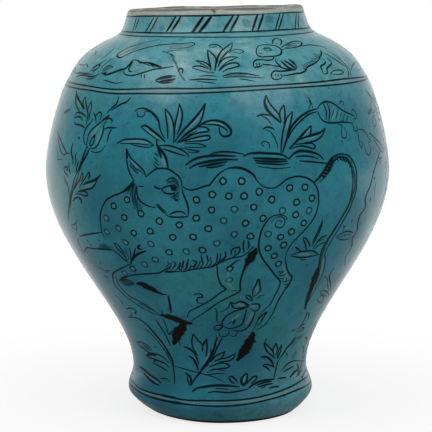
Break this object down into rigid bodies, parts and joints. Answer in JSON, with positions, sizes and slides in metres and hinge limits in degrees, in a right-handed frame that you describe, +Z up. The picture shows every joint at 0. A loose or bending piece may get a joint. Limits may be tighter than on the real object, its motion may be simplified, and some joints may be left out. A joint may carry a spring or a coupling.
{
  "type": "baluster vase",
  "caption": "Hand-thrown baluster vase with a flared foot, full belly, short tapering neck and wide mouth, glazed inside and out.",
  "frame": {"origin": "centre of the face that the foot stands on", "axes": "+Z up along the axis the vase was thrown on; -Y faces the viewer of the picture"},
  "size_m": [0.237, 0.237, 0.28],
  "materials": {
    "clay": "bare fired buff fritware",
    "slip": "fired slip",
    "thin_glaze": "thin pale glaze, worn at the lip",
    "turquoise_glaze": "glossy turquoise alkaline glaze over black painting",
    "liner_glaze": "thin greyish liner glaze"
  },
  "bodies": {
    "root": {"foot_ring": "clay", "foot_luting_slip": "slip", "lower_body": "clay", "belly_luting_slip": "slip", "upper_body": "clay", "neck_luting_slip": "slip", "neck_collar": "thin_glaze", "outer_glaze": "turquoise_glaze", "inner_glaze": "liner_glaze"}
  },
  "joints": []
}
